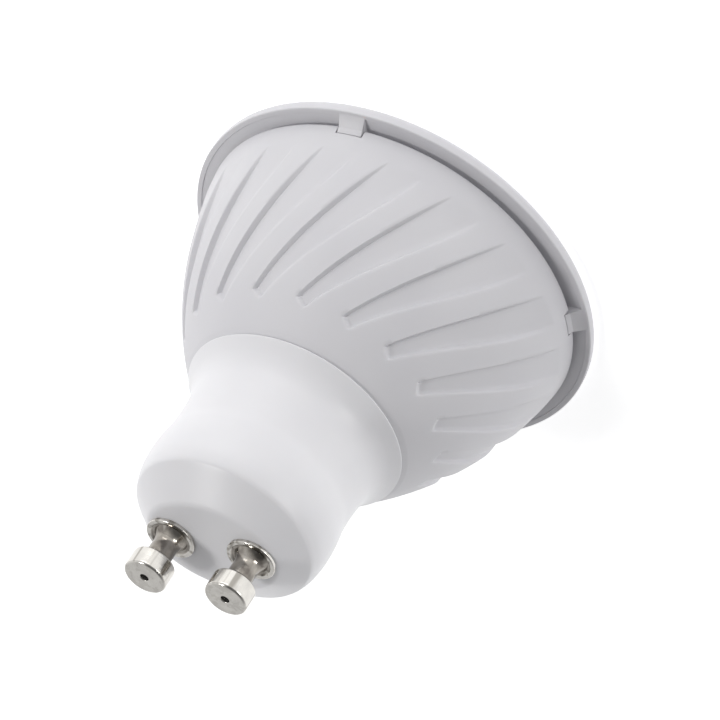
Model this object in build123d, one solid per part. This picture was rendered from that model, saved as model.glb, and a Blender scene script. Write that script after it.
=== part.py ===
from build123d import *
from math import cos, radians, sin, sqrt
import os

# LED spotlight lamp with a two-pin twist-lock base, in millimetres.
# Z runs from the front face at zero up to the heads of the pins, which lie on the X axis.

# Overall sizes
ring_d = 50.0  # across the front ring
lamp_h = 51.6  # front face to the pin heads
seam_z = 26.0  # joint between the cup and the base
pin_stand = 6.2  # end face of the base to the pin heads
fit_gap = 0.1  # slip fit between moulded pieces
hole_gap = 0.05  # round a shaft in its hole
cut_past = 1.0  # how far a cutting tool runs past what it cuts
pick_near = 0.01  # for picking edges by their place

# Contact pins
pin_spacing = 10.0
pin_head_d = 5.0
pin_head_h = 2.4
pin_head_round = 0.3
pin_neck_d = 2.9
pin_flange_d = 5.8
pin_flange_t = 0.45
pin_flange_rim = 0.45
pin_dish_slope = 0.2
pin_dish_w = 0.25  # flat bottom of the dish
pin_dish_depth = 0.2  # hollow pressed into the top of the flange
pin_trumpet_h = 1.7  # flare from the neck down to the flange
pin_trumpet_hollow = 0.22  # shares of the flare's width and height at its middle point
pin_trumpet_mid = 0.38
pin_shank_d = 3.0
pin_bore_d = 1.0
pin_tail_d = 4.4
pin_tail_h = 0.5

# Base shell
base_lip_d = 26.4
base_lip_h = 0.55
base_lip_bevel = 0.25
base_collar_d = 25.8  # where the flare starts, inside the lip
base_flare_d = 23.0  # half way along the flare
base_flare_h = 3.9  # from the seam
base_waist_d = 21.9
base_waist_h = 7.5  # from the seam
base_swell_d = 22.7  # widest place between the waist and the edge
base_swell_h = 12.6  # from the seam
base_edge_d = 21.4
base_bevel_h = 2.7  # from the side wall up to the end face
base_end_x = 15.8  # oval end face, along the line of the pins
base_end_y = 12.4  # and across it
base_wall = 1.5
base_end_t = 1.6
base_edge_round = 0.5
base_oval_round = 0.35
boss_wall = 1.1
boss_h = 1.7
rail_t = 1.0
rail_grip = 1.1  # how far the rails reach over the board's edges
rail_bottom_z = 30.5
root_t = 0.3  # how deep rails and bosses run into the wall

# Fluted cup
cup_rim_in = 1.9  # edge of the rim, in from the outside of the front ring
cup_rim_z = 2.6  # underside of the rim, clear of the front ring
cup_rim_band = 0.3
cup_mid_in = 2.7  # dome at its middle point, in from the edge of the rim
cup_mid_z = 13.5
cup_top_d = 26.2
cup_wall = 1.5
cup_seat_in = 0.8  # step that stands on the front ring, in from the edge of the rim
spigot_d = 21.6
spigot_wall = 1.2
spigot_h = 2.6

# Flutes, slanting round the cup
flute_count = 18
flute_turn = 1.35  # degrees from the X axis to the first flute's narrow end
flute_top_z = 21.7
flute_end_z = 5.4
flute_sweep = 30.0  # degrees from the narrow end to the wide end
flute_lead = 42.0  # slant at the narrow end, in degrees for one flute length
flute_narrow_w = 1.5
flute_wide_w = 3.9
flute_depth = 0.8
flute_wall_slope = 0.3  # how far each side wall leans out
flute_end_lean = 0.45  # rise of the narrow end's wall for its width
flute_sections = 6
flute_clear = 1.2  # how far the cutter stands out of the surface
flute_runout = 0.06  # share of the length by which the floor leaves the surface

# Front ring
ring_plateau_z = 2.0  # ledge that the cup stands on
ring_bead_w = 0.65
ring_bead_h = 0.12
ring_side_z = 0.9  # where the front rounding ends
ring_bend_out = 0.7  # shares of the rounding's width and height at its middle point
ring_bend_up = 0.3
ring_front_in = 1.0  # flat front, in from the outside
ring_face_w = 5.3  # from the outside to the opening
ring_lip_t = 0.7  # front lip that holds the lens
ring_spigot_t = 0.75
ring_spigot_h = 1.9
hook_count = 4
hook_w = 3.0
hook_top_z = 3.5
hook_depth = 1.0  # from the edge of the cup's rim into its wall
hook_slope = 0.55  # outer face leans in towards the top
hook_foot_w = 0.2
hook_shoulder = 0.25  # stands proud of the cup's rim

# Front lens
lens_t = 1.6
lens_edge_round = 0.3

# Light engine
led_board_in = 4.6  # edge of the board, in from the edge of the cup's rim
led_board_t = 1.6
led_board_z = 4.6  # face that carries the LEDs
led_board_hole_d = 5.0
pad_in = 1.5  # edge of the pad, in from the edge of the board
pad_t = 0.5
led_count = 8
led_circle_in = 4.5  # circle of the LEDs, in from the circle of the screws
led_w = 2.8
led_l = 3.5
led_t = 0.7
led_cup_d = 2.1  # round window of the package
led_cup_depth = 0.15
led_corner = 0.2
screw_count = 3
screw_circle_in = 3.5  # circle of the screws, in from the edge of the board
screw_turn = 30.0  # degrees from the X axis to the first screw
screw_head_d = 4.2
screw_head_h = 1.4
screw_shank_d = 2.4
screw_tip_h = 1.0  # past the back of the heat sink
screw_slot_w = 0.6
screw_slot_depth = 0.7
screw_slot_l = 2.6
screw_head_round = 0.5
screw_tip_bevel = 0.4
board_hole_gap = 0.15

# Heat sink
sink_plate_t = 1.5
sink_skirt_t = 1.0
sink_top_z = 17.0
sink_hole_d = 6.0

# Driver board and what it carries
driver_w = 17.6
driver_t = 1.0
driver_low_gap = 3.3  # heat sink plate to the board
driver_top_gap = 1.8  # board to the tails of the pins
can_d = 8.0
can_l = 11.5
can_x = 3.2
can_up = 2.2  # above the lower edge of the board
can_round = 0.5
can_groove = 0.35
can_groove_up = 1.6
can_groove_w = 0.8
can_groove_round = 0.3
film_w = 9.0
film_d = 4.4
film_h = 6.6
film_x = -2.6
film_down = 3.4  # top of the box below the upper edge of the board
film_round = 0.5
bridge_w = 4.7
bridge_d = 2.4
bridge_h = 3.9
bridge_legs = 2  # at each end
bridge_down = 5.6  # middle below the upper edge of the board
chip_w = 4.9
chip_d = 1.5
chip_h = 3.9
chip_legs = 4  # at each end
chip_up = 9.5  # middle above the lower edge of the board
leg_w = 0.5
leg_t = 0.25
leg_reach = 1.0
leg_under = 0.3  # part of the foot that lies under the body
chip_bevel = 0.3
choke_d = 7.0
choke_h = 6.5
choke_flange_t = 0.9
choke_wound_d = 6.2
choke_x = -4.6
choke_up = 8.0
fuse_d = 2.6
fuse_l = 5.0
fuse_down = 1.5
fuse_leg_d = 0.6
fuse_round = 0.4
fuse_leg_reach = 0.8

# Leads
lead_d = 1.2
lead_core_d = 0.9
lead_core_gap = 0.5  # from the pin's face down to the end of the core
led_lead_x = 3.0
led_pad_x = 4.4
led_lead_pass_x = 1.5  # where the leads pass the heat sink and the board
led_lead_low = 0.8  # below the driver board before the lead turns in
led_lead_end = 0.4  # past the middle of the pad
led_lead_bends = [1.2, 1.6, 0.8]
led_lead_drop = 0.8  # from the board face to the lead's line
mains_lead_l = 4.8  # from the driver board to the tail of the pin
led_lead_up = 1.6  # how far the lead lies on the driver board
solder_d = 2.2
solder_h = 1.15
solder_round = 0.9

# Sizes that follow from the ones above
pin_x = pin_spacing / 2
base_top_z = lamp_h - pin_stand
base_edge_z = base_top_z - base_bevel_h
cup_rim_d = ring_d - 2 * cup_rim_in
cup_mid_d = cup_rim_d - 2 * cup_mid_in
cup_seat_d = cup_rim_d - 2 * cup_seat_in
cup_arc_low_z = cup_rim_z + cup_rim_band
ring_front_d = ring_d - 2 * ring_front_in
ring_opening_d = ring_d - 2 * ring_face_w
plateau_bead_z = ring_plateau_z + ring_bead_h
lens_d = cup_seat_d - 2 * cup_wall - 2 * ring_spigot_t
lens_z = ring_lip_t
led_board_d = cup_rim_d - 2 * led_board_in
pad_d = led_board_d - 2 * pad_in
screw_circle_d = led_board_d - 2 * screw_circle_in
led_circle_d = screw_circle_d - 2 * led_circle_in
sink_low_z = led_board_z + led_board_t + pad_t
boss_low_z = base_top_z - base_end_t - boss_h
pin_tail_z = boss_low_z - pin_tail_h
driver_low_z = sink_low_z + sink_plate_t + driver_low_gap
driver_top_z = pin_tail_z - driver_top_gap
boss_d = pin_shank_d + 2 * hole_gap + 2 * boss_wall
spigot_bore_r = spigot_d / 2 - spigot_wall
base_bore_r = base_waist_d / 2 - base_wall
driver_face = -lead_d / 2  # the leads lie on this face, in line with the pins
driver_back = driver_face - driver_t
driver_y = (driver_face + driver_back) / 2


def arc_through(a, b, c):
    """Centre and radius, in the radius and height plane, of the arc through three points."""
    (ax, ay), (bx, by), (cx, cy) = a, b, c
    d = 2 * (ax * (by - cy) + bx * (cy - ay) + cx * (ay - by))
    sa, sb, sc = ax**2 + ay**2, bx**2 + by**2, cx**2 + cy**2
    ux = (sa * (by - cy) + sb * (cy - ay) + sc * (ay - by)) / d
    uy = (sa * (cx - bx) + sb * (ax - cx) + sc * (bx - ax)) / d
    return ux, uy, sqrt((ax - ux) ** 2 + (ay - uy) ** 2)


cup_arc = arc_through(
    (cup_rim_d / 2, cup_arc_low_z),
    (cup_mid_d / 2, cup_mid_z),
    (cup_top_d / 2, seam_z),
)


def cup_radius(z, inset=0.0):
    """Radius at height z of the cup's outside, or of the parallel surface inset from it."""
    centre_r, centre_z, arc_r = cup_arc
    return centre_r + sqrt((arc_r - inset) ** 2 - (z - centre_z) ** 2)


def bowl_arc(z_from, z_to, inset=0.0):
    """Arc of the cup's section between two heights."""
    z_mid = (z_from + z_to) / 2
    return ThreePointArc(
        (cup_radius(z_from, inset), z_from),
        (cup_radius(z_mid, inset), z_mid),
        (cup_radius(z_to, inset), z_to),
    )


def revolved(edges):
    """Solid of revolution about Z from a closed outline in the radius and height plane."""
    outline = Wire(edges)
    return revolve(Plane.XZ * make_face(outline), Axis.Z)


def outline(*points):
    """Straight edges through the given points."""
    return list(Polyline(*points).edges())


def tube(outer_d, inner_d, z_low, z_high):
    """Plain round tube about Z."""
    outer = Cylinder(outer_d / 2, z_high - z_low, align=(Align.CENTER, Align.CENTER, Align.MIN))
    inner = Cylinder(inner_d / 2, z_high - z_low, align=(Align.CENTER, Align.CENTER, Align.MIN))
    return Pos(0, 0, z_low) * (outer - inner)


def disc(d, z_low, z_high):
    """Plain round disc about Z."""
    return Pos(0, 0, z_low) * Cylinder(d / 2, z_high - z_low, align=(Align.CENTER, Align.CENTER, Align.MIN))


def block(x_size, y_size, z_size, x=0.0, y=0.0, z=0.0):
    """Box centred in X and Y at the given place, standing on height z."""
    return Pos(x, y, z) * Box(x_size, y_size, z_size, align=(Align.CENTER, Align.CENTER, Align.MIN))


def around(count, turn=0.0):
    """Evenly spaced turns about Z."""
    return [Rot(0, 0, turn + 360 * i / count) for i in range(count)]


def make_base_shell():
    """Moulded base: lip and flare at the seam, waisted wall, bevelled oval end, pin bosses, board rails."""
    lip_r, collar_r = base_lip_d / 2, base_collar_d / 2
    edge_r = base_edge_d / 2
    lip_top = seam_z + base_lip_h
    flare_start = (collar_r, lip_top + base_lip_bevel)
    flare_middle = (base_flare_d / 2, seam_z + base_flare_h)
    waist = (base_waist_d / 2, seam_z + base_waist_h)
    swell = (base_swell_d / 2, seam_z + base_swell_h)
    edge = (edge_r, base_edge_z)
    side = outline((0, seam_z), (lip_r, seam_z), (lip_r, lip_top), flare_start)
    side += [ThreePointArc(flare_start, flare_middle, waist), ThreePointArc(waist, swell, edge)]
    side += outline(edge, (0, base_edge_z), (0, seam_z))
    wall = revolved(side)
    end_oval = Pos(0, 0, base_top_z) * Ellipse(base_end_x / 2, base_end_y / 2)
    bevel = loft([Pos(0, 0, base_edge_z) * Circle(edge_r), end_oval])
    shell = wall + bevel

    ceiling_z = base_top_z - base_end_t
    bore_top = base_edge_z - base_end_t
    hollow = disc(2 * base_bore_r, seam_z - cut_past, bore_top)
    oval_in = Ellipse(base_end_x / 2 - base_wall / 2, base_end_y / 2 - base_wall / 2)
    hollow += loft([Pos(0, 0, bore_top) * Circle(base_bore_r), Pos(0, 0, ceiling_z) * oval_in])
    hollow += disc(spigot_d + 2 * fit_gap, seam_z - cut_past, seam_z + spigot_h + fit_gap)
    shell -= hollow
    for side_x in (-pin_x, pin_x):
        shell += Pos(side_x, 0, 0) * disc(boss_d, boss_low_z, ceiling_z + root_t)
    for side_x in (-pin_x, pin_x):
        hole = disc(pin_shank_d + 2 * hole_gap, boss_low_z - cut_past, base_top_z + cut_past)
        shell -= Pos(side_x, 0, 0) * hole

    rail_in = driver_w / 2 - rail_grip
    rail_len = base_bore_r + root_t - rail_in
    rail_h = bore_top - rail_bottom_z
    keep = disc(2 * (base_bore_r + root_t), rail_bottom_z, bore_top)
    for side_x in (-1, 1):
        for side_y in (-1, 1):
            x = side_x * (rail_in + rail_len / 2)
            y = driver_y + side_y * (driver_t / 2 + hole_gap + rail_t / 2)
            shell += block(rail_len, rail_t, rail_h, x, y, rail_bottom_z) & keep
    circles = shell.edges().filter_by(GeomType.CIRCLE)
    at_edge = circles.filter_by(lambda e: abs(e.center().Z - base_edge_z) < pick_near)
    shell = fillet(at_edge.filter_by(lambda e: abs(e.radius - edge_r) < pick_near), base_edge_round)
    oval = shell.faces().sort_by(Axis.Z)[-1].outer_wire().edges()
    return fillet(oval, base_oval_round)


def make_contact_pin():
    """Turned hollow pin: head, neck, trumpet, dished flange, shank and peened tail."""
    head_r, neck_r, flange_r = pin_head_d / 2, pin_neck_d / 2, pin_flange_d / 2
    shank_r, tail_r, bore_r = pin_shank_d / 2, pin_tail_d / 2, pin_bore_d / 2
    z0 = base_top_z
    head_z = lamp_h - pin_head_h
    flange_top = z0 + pin_flange_t
    rim_r = flange_r - pin_flange_rim
    dish_r = rim_r - pin_dish_slope
    dish_z = flange_top - pin_dish_depth
    start = (dish_r - pin_dish_w, dish_z)
    trumpet_z = flange_top + pin_trumpet_h
    edges = outline(
        (bore_r, pin_tail_z), (tail_r, pin_tail_z), (tail_r, boss_low_z), (shank_r, boss_low_z),
        (shank_r, z0), (flange_r, z0), (flange_r, flange_top), (rim_r, flange_top), (dish_r, dish_z), start,
    )
    end = (neck_r, trumpet_z)
    middle_r = neck_r + pin_trumpet_hollow * (start[0] - neck_r)
    middle = (middle_r, dish_z + pin_trumpet_mid * (trumpet_z - dish_z))
    edges += [ThreePointArc(start, middle, end)]
    edges += outline(
        end, (neck_r, head_z), (head_r - pin_head_round, head_z), (head_r, head_z + pin_head_round),
        (head_r, lamp_h - pin_head_round),
    )
    corner = pin_head_round * (1 - sqrt(0.5))
    round_low, round_top = (head_r, lamp_h - pin_head_round), (head_r - pin_head_round, lamp_h)
    edges += [ThreePointArc(round_low, (head_r - corner, lamp_h - corner), round_top)]
    edges += outline((head_r - pin_head_round, lamp_h), (bore_r, lamp_h), (bore_r, pin_tail_z))
    return revolved(edges)


def flute_cutter():
    """Slanting wedge that cuts one flute: narrow near the base, wide at the rim, where its floor runs out."""
    sections = []
    length = flute_top_z - flute_end_z
    for i in range(flute_sections):
        s = (1 + flute_runout) * i / (flute_sections - 1)
        z = flute_top_z - s * length
        turn = flute_turn - (flute_lead * s - (flute_lead - flute_sweep) * s**2)
        lean = flute_end_lean * (1 - s) ** 4
        half_w = (flute_narrow_w + (flute_wide_w - flute_narrow_w) * sin(radians(90 * min(s, 1)))) / 2
        depth = flute_depth * (1 - s**3)
        floor_r = cup_radius(z) - depth
        top_r = cup_radius(z) + flute_clear
        floor_half = half_w - flute_wall_slope / 2
        top_half = half_w + flute_wall_slope * (top_r - floor_r)
        corners = []
        four = ((floor_r, -floor_half), (floor_r, floor_half), (top_r, top_half), (top_r, -top_half))
        for r, across in four:
            angle = radians(turn) + across / r
            corners.append(Vector(r * cos(angle), r * sin(angle), z - lean * r * sin(across / r)))
        sections.append(Wire.make_polygon(corners, close=True))
    return Solid.make_loft(sections)


def make_cup_shell():
    """Moulded cup: domed wall with slanting flutes, stepped rim, hook pockets and a spigot for the base."""
    seat_r, rim_r = cup_seat_d / 2, cup_rim_d / 2
    spigot_r = spigot_d / 2
    spigot_top = seam_z + spigot_h
    inner_top = seam_z - cup_wall
    edges = outline((seat_r, ring_plateau_z), (seat_r, cup_rim_z), (rim_r, cup_rim_z), (rim_r, cup_arc_low_z))
    edges += [bowl_arc(cup_arc_low_z, seam_z)]
    edges += outline(
        (cup_radius(seam_z), seam_z), (spigot_r, seam_z), (spigot_r, spigot_top), (spigot_bore_r, spigot_top),
        (spigot_bore_r, inner_top), (cup_radius(inner_top, cup_wall), inner_top),
    )
    edges += [bowl_arc(inner_top, cup_arc_low_z, cup_wall)]
    edges += outline(
        (cup_radius(cup_arc_low_z, cup_wall), cup_arc_low_z),
        (cup_radius(cup_arc_low_z, cup_wall), ring_plateau_z),
        (seat_r, ring_plateau_z),
    )
    cup = revolved(edges)
    cutter = flute_cutter()
    flutes = [turn * cutter for turn in around(flute_count)]
    pockets = [turn * hook_pocket() for turn in around(hook_count)]
    return cup - flutes - pockets


def hook_pocket():
    """Notch in the cup's rim that takes one hook of the front ring."""
    inner = cup_rim_d / 2 - hook_depth
    width = hook_w + 2 * fit_gap
    low_z = ring_plateau_z - cut_past
    return block(ring_d, width, hook_top_z + fit_gap - low_z, inner + ring_d / 2, 0, low_z)


def make_front_ring():
    """Front ring: rounded rim, ledge with an outer bead, lens lip, inner spigot and hooks."""
    outer_r, opening_r = ring_d / 2, ring_opening_d / 2
    pocket_r = lens_d / 2 + fit_gap
    spigot_r = cup_radius(ring_plateau_z + ring_spigot_h, cup_wall) - fit_gap
    spigot_top = ring_plateau_z + ring_spigot_h
    bead_in = outer_r - ring_bead_w
    bead_mid = outer_r - ring_bead_w / 2
    front_r = ring_front_d / 2
    bend = (front_r + ring_bend_out * (outer_r - front_r), ring_bend_up * ring_side_z)
    edges = outline((opening_r, 0), (front_r, 0))
    edges += [ThreePointArc((front_r, 0), bend, (outer_r, ring_side_z))]
    edges += outline((outer_r, ring_side_z), (outer_r, ring_plateau_z))
    edges += [ThreePointArc((outer_r, ring_plateau_z), (bead_mid, plateau_bead_z), (bead_in, ring_plateau_z))]
    edges += outline(
        (bead_in, ring_plateau_z), (spigot_r, ring_plateau_z), (spigot_r, spigot_top), (pocket_r, spigot_top),
        (pocket_r, ring_lip_t), (opening_r, ring_lip_t), (opening_r, 0),
    )
    ring = revolved(edges)
    inner = cup_rim_d / 2 - hook_depth + fit_gap
    reach = outer_r - ring_bead_w / 2
    hook_outline = Polyline(
        (inner, ring_plateau_z), (reach, ring_plateau_z), (reach - hook_foot_w, plateau_bead_z),
        (cup_rim_d / 2 + hook_shoulder, hook_top_z - hook_slope), (cup_radius(hook_top_z), hook_top_z),
        (inner, hook_top_z),
        close=True,
    )
    hook = extrude(Plane.XZ * make_face(hook_outline), hook_w / 2, both=True)
    return ring + [turn * hook for turn in around(hook_count)]


def make_front_lens():
    """Clear cover disc that lies on the lip of the front ring."""
    lens = disc(lens_d, lens_z, lens_z + lens_t)
    return fillet(lens.edges(), lens_edge_round)


def screw_places():
    """Turned places of the board screws."""
    return [turn * Pos(screw_circle_d / 2, 0, 0) for turn in around(screw_count, screw_turn)]


def make_heat_sink():
    """Pressed aluminium bowl: flat plate behind the LED board and a skirt along the inside of the cup."""
    outer_in = cup_wall + fit_gap
    inner_in = outer_in + sink_skirt_t
    plate_top = sink_low_z + sink_plate_t
    hole_r = sink_hole_d / 2
    edges = outline((hole_r, sink_low_z), (cup_radius(sink_low_z, outer_in), sink_low_z))
    edges += [bowl_arc(sink_low_z, sink_top_z, outer_in)]
    edges += outline(
        (cup_radius(sink_top_z, outer_in), sink_top_z), (cup_radius(sink_top_z, inner_in), sink_top_z)
    )
    edges += [bowl_arc(sink_top_z, plate_top, inner_in)]
    edges += outline((cup_radius(plate_top, inner_in), plate_top), (hole_r, plate_top), (hole_r, sink_low_z))
    hole = disc(screw_shank_d + 2 * hole_gap, sink_low_z - cut_past, plate_top + cut_past)
    return revolved(edges) - [place * hole for place in screw_places()]


def make_thermal_pad():
    """Soft pad between the LED board and the heat sink."""
    pad = tube(pad_d, sink_hole_d, led_board_z + led_board_t, sink_low_z)
    hole = disc(screw_shank_d + 2 * board_hole_gap, led_board_z, sink_low_z + cut_past)
    return pad - [place * hole for place in screw_places()]


def make_led_board():
    """Round aluminium-core board with a middle hole for the leads and holes for its screws."""
    board = tube(led_board_d, led_board_hole_d, led_board_z, led_board_z + led_board_t)
    hole = disc(screw_shank_d + 2 * board_hole_gap, led_board_z - cut_past, sink_low_z)
    return board - [place * hole for place in screw_places()]


def make_led():
    """One LED package with its shallow round window, lying on the board and facing the lens."""
    body = block(led_w, led_l, led_t, 0, 0, led_board_z - led_t)
    body = chamfer(body.edges().filter_by(Axis.Z), led_corner)
    window_z = led_board_z - led_t
    return body - disc(led_cup_d, window_z - cut_past, window_z + led_cup_depth)


def make_board_screws():
    """Pan-head screws with a driving cross, from the LED board into the heat sink."""
    head = disc(screw_head_d, led_board_z - screw_head_h, led_board_z)
    head = fillet(head.edges().sort_by(Axis.Z)[0], screw_head_round)
    for turn in (0, 90):
        slot = block(screw_slot_l, screw_slot_w, screw_slot_depth, 0, 0, led_board_z - screw_head_h)
        head -= Rot(0, 0, turn) * slot
    shank = disc(screw_shank_d, led_board_z, sink_low_z + sink_plate_t + screw_tip_h)
    screw = head + chamfer(shank.edges().sort_by(Axis.Z)[-1], screw_tip_bevel)
    return [place * screw for place in screw_places()]


def make_driver_board():
    """Upright board that slides between the rails of the base."""
    return block(driver_w, driver_t, driver_top_z - driver_low_z, 0, driver_y, driver_low_z)


def make_storage_capacitor():
    """Electrolytic can lying on the driver board, with its rolled groove."""
    can = disc(can_d, 0, can_l)
    can = fillet(can.edges(), can_round)
    groove = tube(can_d + cut_past, can_d - 2 * can_groove, can_groove_up, can_groove_up + can_groove_w)
    inner_edges = groove.edges().filter_by(GeomType.CIRCLE).filter_by(lambda e: e.radius < can_d / 2)
    can -= fillet(inner_edges, can_groove_round)
    return Pos(can_x, driver_face + can_d / 2, driver_low_z + can_up) * can


def make_film_capacitor():
    """Boxed film capacitor on the driver board."""
    box = block(film_w, film_d, film_h, film_x, driver_face + film_d / 2, driver_top_z - film_down - film_h)
    return fillet(box.edges().filter_by(Axis.Y) + box.faces().sort_by(Axis.Y)[-1].edges(), film_round)


def legged_chip(width, depth, height, z, legs):
    """Moulded package on the back of the driver board, with bent legs along both ends."""
    body = block(width, depth, height, 0, 0, -height / 2)
    body = chamfer(body.faces().sort_by(Axis.Y)[0].edges(), chip_bevel)
    body = Pos(0, driver_back - depth / 2 - leg_t, z) * body
    pitch = width / legs
    foot_l = leg_reach + leg_under
    foot_y = driver_back - leg_t / 2
    riser_y = foot_y - depth / 4
    for end in (-1, 1):
        foot_z = z + end * (height / 2 + leg_reach / 2 - leg_under / 2) - foot_l / 2
        riser_z = z + end * (height / 2 + leg_t / 2) - leg_t / 2
        for i in range(legs):
            x = -width / 2 + pitch * (i + 0.5)
            body += block(leg_w, leg_t, foot_l, x, foot_y, foot_z)
            body += block(leg_w, depth / 2, leg_t, x, riser_y, riser_z)
    return body


def make_bridge_rectifier():
    """Four-legged rectifier on the back of the driver board."""
    return legged_chip(bridge_w, bridge_d, bridge_h, driver_top_z - bridge_down, bridge_legs)


def make_driver_chip():
    """Eight-legged controller on the back of the driver board."""
    return legged_chip(chip_w, chip_d, chip_h, driver_low_z + chip_up, chip_legs)


def make_choke():
    """Drum core with its winding between two flanges, standing on the driver board."""
    drum = disc(choke_wound_d, 0, choke_h) + disc(choke_d, 0, choke_flange_t)
    drum += disc(choke_d, choke_h - choke_flange_t, choke_h)
    return Pos(choke_x, driver_face, driver_low_z + choke_up) * Rot(-90, 0, 0) * drum


def make_fuse_resistor():
    """Axial resistor across the top of the driver board, with its legs bent to the board."""
    body = Rot(0, 90, 0) * Cylinder(fuse_d / 2, fuse_l)
    body = fillet(body.edges(), fuse_round)
    leg_x = fuse_l / 2 + fuse_leg_reach
    legs = Rot(0, 90, 0) * Cylinder(fuse_leg_d / 2, 2 * leg_x)
    leg = Rot(90, 0, 0) * disc(fuse_leg_d, 0, fuse_d / 2) + Sphere(fuse_leg_d / 2)
    for side_x in (-1, 1):
        legs += Pos(side_x * leg_x, 0, 0) * leg
    return Pos(0, driver_face + fuse_d / 2, driver_top_z - fuse_down) * (body + legs)


def swept_lead(points, radii, d):
    """Round lead along straight runs joined by tangent arcs."""
    path = FilletPolyline(*points, radius=radii)
    start = Vector(*points[0])
    direction = Vector(*points[1]) - start
    section = Plane(origin=start, z_dir=direction) * Circle(d / 2)
    return sweep(section, path=path)


def make_mains_lead(side_x):
    """Lead from the driver board up to the tail of a pin, with its bare core inside the pin."""
    lead = disc(lead_d, pin_tail_z - mains_lead_l, pin_tail_z)
    lead += disc(lead_core_d, pin_tail_z, lamp_h - lead_core_gap)
    return Pos(side_x * pin_x, 0, 0) * lead


def led_lead_points(side_x):
    """Route of an LED lead: driver board, through the heat sink and the board, over to its pad."""
    y_board = driver_face + lead_core_d / 2
    low_z = led_board_z - led_lead_drop
    return [
        (side_x * led_lead_x, y_board, driver_low_z + led_lead_up),
        (side_x * led_lead_x, y_board, driver_low_z - led_lead_low),
        (side_x * led_lead_pass_x, 0, sink_low_z + sink_plate_t),
        (side_x * led_lead_pass_x, 0, low_z),
        (side_x * (led_pad_x + led_lead_end), 0, low_z),
    ]


def make_led_lead(side_x):
    """Thin lead to the LED board."""
    return swept_lead(led_lead_points(side_x), led_lead_bends, lead_core_d)


def make_solder_joints(leads):
    """Solder domes that hold the ends of the two leads to the pads of the LED board."""
    domes = []
    for side_x, lead in zip((-1, 1), leads):
        dome = disc(solder_d, led_board_z - solder_h, led_board_z)
        dome = fillet(dome.edges().sort_by(Axis.Z)[0], solder_round)
        domes.append(Pos(side_x * led_pad_x, 0, 0) * dome - lead)
    return domes


def write(node, *solids):
    """Write one node as a STEP file."""
    shape = solids[0] if len(solids) == 1 else Compound(children=list(solids))
    export_step(shape, f"parts/{node}.step")


def main():
    os.makedirs("parts", exist_ok=True)
    write("base_shell", make_base_shell())
    pin = make_contact_pin()
    write("contact_pin_left", Pos(-pin_x, 0, 0) * pin)
    write("contact_pin_right", Pos(pin_x, 0, 0) * pin)
    write("cup_shell", make_cup_shell())
    write("front_ring", make_front_ring())
    write("front_lens", make_front_lens())
    write("heat_sink", make_heat_sink())
    write("thermal_pad", make_thermal_pad())
    write("led_board", make_led_board())
    led = make_led()
    for i, turn in enumerate(around(led_count)):
        write(f"led_{i + 1}", turn * Pos(led_circle_d / 2, 0, 0) * led)
    write("board_screws", *make_board_screws())
    write("driver_board", make_driver_board())
    write("storage_capacitor", make_storage_capacitor())
    write("film_capacitor", make_film_capacitor())
    write("bridge_rectifier", make_bridge_rectifier())
    write("driver_chip", make_driver_chip())
    write("choke", make_choke())
    write("fuse_resistor", make_fuse_resistor())
    write("mains_lead_left", make_mains_lead(-1))
    write("mains_lead_right", make_mains_lead(1))
    black, red = make_led_lead(-1), make_led_lead(1)
    write("led_lead_black", black)
    write("led_lead_red", red)
    write("solder_joints", *make_solder_joints((black, red)))


main()
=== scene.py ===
import math
import bmesh
import bpy
from mathutils import Matrix, Vector


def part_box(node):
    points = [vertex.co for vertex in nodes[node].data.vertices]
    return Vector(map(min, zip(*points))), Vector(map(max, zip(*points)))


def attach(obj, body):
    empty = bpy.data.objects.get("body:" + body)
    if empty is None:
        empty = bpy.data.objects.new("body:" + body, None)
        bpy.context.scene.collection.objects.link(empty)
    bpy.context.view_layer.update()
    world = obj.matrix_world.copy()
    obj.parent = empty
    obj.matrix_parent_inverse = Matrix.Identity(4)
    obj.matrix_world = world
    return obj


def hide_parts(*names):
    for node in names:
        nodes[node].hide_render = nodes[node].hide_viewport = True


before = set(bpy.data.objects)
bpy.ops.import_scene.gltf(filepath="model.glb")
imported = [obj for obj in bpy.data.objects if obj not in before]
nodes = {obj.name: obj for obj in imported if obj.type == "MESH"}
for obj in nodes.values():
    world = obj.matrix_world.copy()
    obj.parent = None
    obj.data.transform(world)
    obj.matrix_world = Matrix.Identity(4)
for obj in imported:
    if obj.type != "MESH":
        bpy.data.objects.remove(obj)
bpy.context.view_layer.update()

mm = 0.001
weldReach = 1e-7  # metres between points that become one
axisR = 1e-4  # millimetres that a spun outline keeps from the axis, so that it stays a loop
print("spotlight bulb: frame loaded,", len(nodes), "CAD pieces")


# shared sizes in millimetres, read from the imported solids
def boxMm(node):
    low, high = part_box(node)
    return low / mm, high / mm


baseLow, baseHigh = boxMm("base_shell")
ringHigh = boxMm("front_ring")[1]
pinLow, pinHigh = boxMm("contact_pin_right")
lensLow, lensHigh = boxMm("front_lens")
seamZ = baseLow.z
endZ = baseHigh.z
pinX = (pinLow.x + pinHigh.x) / 2


# mesh helpers
def smoothStep(t):
    t = min(max(t, 0.0), 1.0)
    return t * t * (3 - 2 * t)


def mix(a, b, t):
    return a + (b - a) * t


def smoothProfile(points, steps):
    # curve through (r, z) points, with the slope at each taken from its neighbours
    last = len(points) - 1
    slopes = []
    for i in range(last + 1):
        a, b = points[max(i - 1, 0)], points[min(i + 1, last)]
        slopes.append((b[0] - a[0]) / (b[1] - a[1]))
    curve = [points[0]]
    for i in range(last):
        (r0, z0), (r1, z1) = points[i], points[i + 1]
        for k in range(1, steps + 1):
            t = k / steps
            h = z1 - z0
            r = r0 * (1 + 2 * t) * (1 - t) ** 2 + h * slopes[i] * t * (1 - t) ** 2
            r += r1 * t * t * (3 - 2 * t) - h * slopes[i + 1] * t * t * (1 - t)
            curve.append((r, mix(z0, z1, t)))
    return curve


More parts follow.
